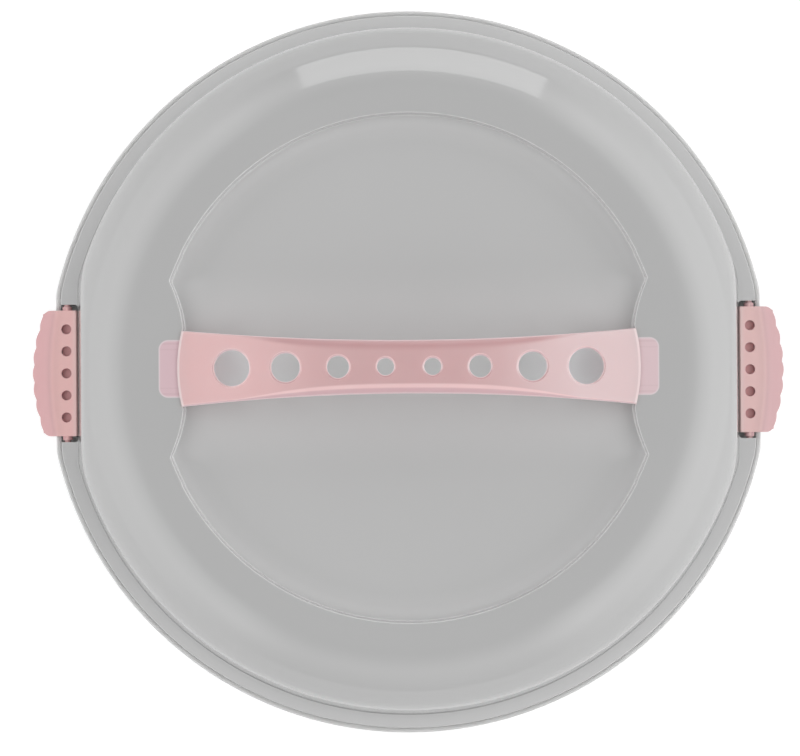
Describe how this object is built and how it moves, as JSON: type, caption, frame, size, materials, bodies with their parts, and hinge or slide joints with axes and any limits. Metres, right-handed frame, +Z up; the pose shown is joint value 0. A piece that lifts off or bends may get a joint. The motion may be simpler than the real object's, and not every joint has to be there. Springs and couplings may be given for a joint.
{
  "type": "cake carrier",
  "caption": "Round cake carrier: shallow tray, lift-off domed lid with an arched carrying handle, and side latches hinged on the lid that hook under the tray's edge.",
  "frame": {"origin": "on the table, under the middle of the tray", "axes": "+X along the handle towards one latch, +Y across the handle, +Z up"},
  "size_m": [0.334, 0.32, 0.1602],
  "materials": {
    "tray_plastic": "translucent grey polypropylene, satin",
    "lid_plastic": "translucent grey polypropylene, softly glossy outside",
    "handle_plastic": "pale pink polypropylene, satin",
    "latch_plastic": "pale pink polypropylene, satin"
  },
  "bodies": {
    "tray": {"base_tray": "tray_plastic"},
    "lid": {"dome_lid": "lid_plastic", "handle_strap": "handle_plastic"},
    "latch_left": {"latch_left": "latch_plastic"},
    "latch_right": {"latch_right": "latch_plastic"}
  },
  "joints": [
    {"name": "lid_lift", "type": "slide", "parent": "tray", "child": "lid", "axis": [0, 0, 1], "range_m": [0, 0.18]},
    {"name": "latch_left_swing", "type": "hinge", "parent": "lid", "child": "latch_left", "pos_m": [-0.151, 0, 0.021], "axis": [0, 1, 0], "range_deg": [0, 95]},
    {"name": "latch_right_swing", "type": "hinge", "parent": "lid", "child": "latch_right", "pos_m": [0.151, 0, 0.021], "axis": [0, -1, 0], "range_deg": [0, 95]}
  ]
}
